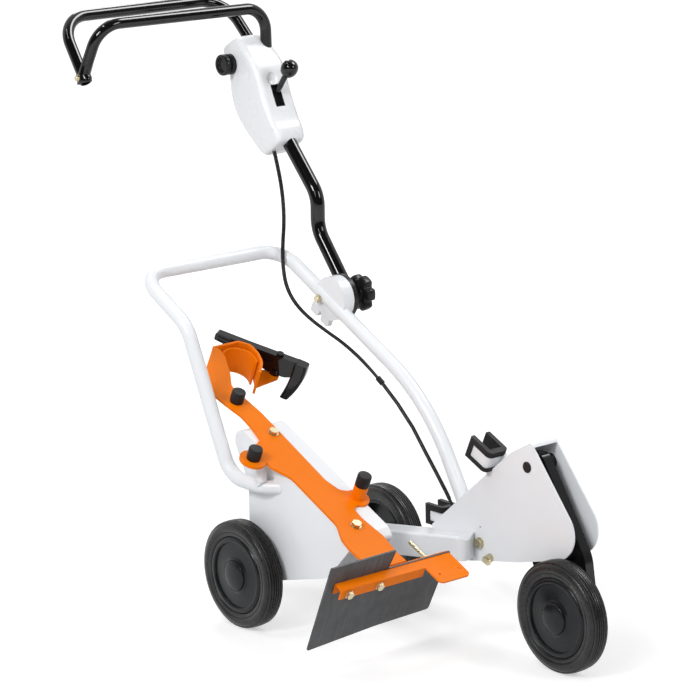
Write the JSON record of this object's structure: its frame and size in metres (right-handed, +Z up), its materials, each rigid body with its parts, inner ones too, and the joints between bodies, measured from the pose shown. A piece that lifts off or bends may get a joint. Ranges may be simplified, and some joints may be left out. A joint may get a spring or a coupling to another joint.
{
  "type": "lawn edger",
  "caption": "Three-wheeled guide cart that carries a hand-held cut-off saw on an inclined plate, with a folding push handle, a quick clamp and a front wheel on a swinging arm.",
  "frame": {"origin": "bottom centre of the cart's bounding box, on the floor that its three wheels stand on", "axes": "+X forward, +Y to the left as seen from behind the handle, +Z up"},
  "size_m": [1.174, 0.4872, 1.08],
  "materials": {
    "white_steel": "powder coat, satin",
    "orange_steel": "powder coat, satin",
    "black_steel": "powder coat, satin",
    "zinc": "yellow zinc plated",
    "rubber": "matte",
    "tyre": "matte",
    "white_plastic": "moulded, satin",
    "black_plastic": "moulded, fine texture"
  },
  "bodies": {
    "frame": {"rear_body": "white_steel", "axle_tubes": "white_steel", "rear_axle": "zinc", "axle_spacers": "black_plastic", "beam": "white_steel", "loop_tube": "white_steel", "front_housing": "white_steel", "pivot_pin": "black_steel", "pivot_bushes": "black_plastic", "saw_plate": "orange_steel", "buffer_riser": "orange_steel", "buffer_1": "rubber", "buffer_2": "rubber", "buffer_3": "rubber", "plate_bolts": "zinc", "lobe_post": "white_steel", "rubber_flap": "rubber", "flap_backing_strip": "orange_steel", "flap_bar": "orange_steel", "flap_bolts": "zinc", "stay_bolt": "zinc", "hinge_socket": "white_steel", "hinge_stud": "zinc", "lever_pin": "zinc", "housing_bolts": "zinc", "cable_ferrule": "zinc", "saddle_upper": "white_steel", "saddle_upper_edging": "rubber", "saddle_lower": "white_steel", "saddle_lower_edging": "rubber", "lowering_cable": "rubber", "throttle_cable": "rubber"},
    "rear_right_wheel": {"rear_right_tyre": "tyre", "rear_right_rim": "black_plastic", "rear_right_hub_cap": "black_plastic"},
    "rear_left_wheel": {"rear_left_tyre": "tyre", "rear_left_rim": "black_plastic", "rear_left_hub_cap": "black_plastic"},
    "front_wheel": {"front_tyre": "tyre", "front_rim": "black_plastic", "front_hub_cap": "black_plastic"},
    "front_arm_body": {"front_arm": "black_steel", "front_axle": "zinc", "front_axle_spacer": "black_plastic"},
    "push_handle": {"hinge_disc": "black_plastic", "handle_column": "black_steel", "handle_spine": "black_steel", "handlebar_rear": "black_steel", "handlebar_front": "black_steel", "handlebar_bolt": "zinc", "console_right_shell": "white_plastic", "console_left_shell": "white_plastic", "throttle_pin": "zinc"},
    "star_knob_body": {"star_knob": "black_plastic"},
    "throttle_lever_body": {"throttle_lever": "black_plastic"},
    "side_knob_body": {"side_knob": "black_plastic"},
    "clamp_lever_body": {"clamp_lever": "black_plastic"},
    "clamp_jaw_body": {"clamp_jaw": "orange_steel", "jaw_bolt": "zinc"}
  },
  "joints": [
    {"name": "rear_right_wheel_spin", "type": "hinge", "parent": "frame", "child": "rear_right_wheel", "pos_m": [-0.081, -0.14518, 0.1], "axis": [0, 1, 0], "continuous": true},
    {"name": "rear_left_wheel_spin", "type": "hinge", "parent": "frame", "child": "rear_left_wheel", "pos_m": [-0.081, 0.19182, 0.1], "axis": [0, 1, 0], "continuous": true},
    {"name": "front_arm_swing", "type": "hinge", "parent": "frame", "child": "front_arm_body", "pos_m": [0.376, 0.16432, 0.34], "axis": [0, -1, 0], "range_deg": [0, 45]},
    {"name": "front_wheel_spin", "type": "hinge", "parent": "front_arm_body", "child": "front_wheel", "pos_m": [0.487, 0.11132, 0.1], "axis": [0, 1, 0], "continuous": true},
    {"name": "handle_fold", "type": "hinge", "parent": "frame", "child": "push_handle", "pos_m": [-0.184, 0.20332, 0.547], "axis": [0, 1, 0], "range_deg": [-15, 75], "deforming": ["lowering_cable", "throttle_cable"]},
    {"name": "star_knob_turn", "type": "hinge", "parent": "frame", "child": "star_knob_body", "pos_m": [-0.184, 0.22932, 0.547], "axis": [0, 1, 0], "continuous": true},
    {"name": "throttle_lever_swing", "type": "hinge", "parent": "push_handle", "child": "throttle_lever_body", "pos_m": [-0.412, 0.20332, 0.881], "axis": [0, 1, 0], "range_deg": [-5, 30]},
    {"name": "side_knob_turn", "type": "hinge", "parent": "push_handle", "child": "side_knob_body", "pos_m": [-0.481, 0.15332, 0.958], "axis": [0, 1, 0], "range_deg": [-135, 135]},
    {"name": "clamp_lever_swing", "type": "hinge", "parent": "frame", "child": "clamp_lever_body", "pos_m": [-0.27065, 0.09802, 0.42339], "axis": [-0.4226, 0, -0.9063], "range_deg": [0, 48]},
    {"name": "clamp_jaw_slide", "type": "slide", "parent": "frame", "child": "clamp_jaw_body", "axis": [0.6628, -0.682, -0.3091], "range_m": [0, 0.005]}
  ],
  "couplings": [
    {"joint": "clamp_jaw_slide", "follows": "clamp_lever_swing", "m_per_rad": 0.00596}
  ]
}
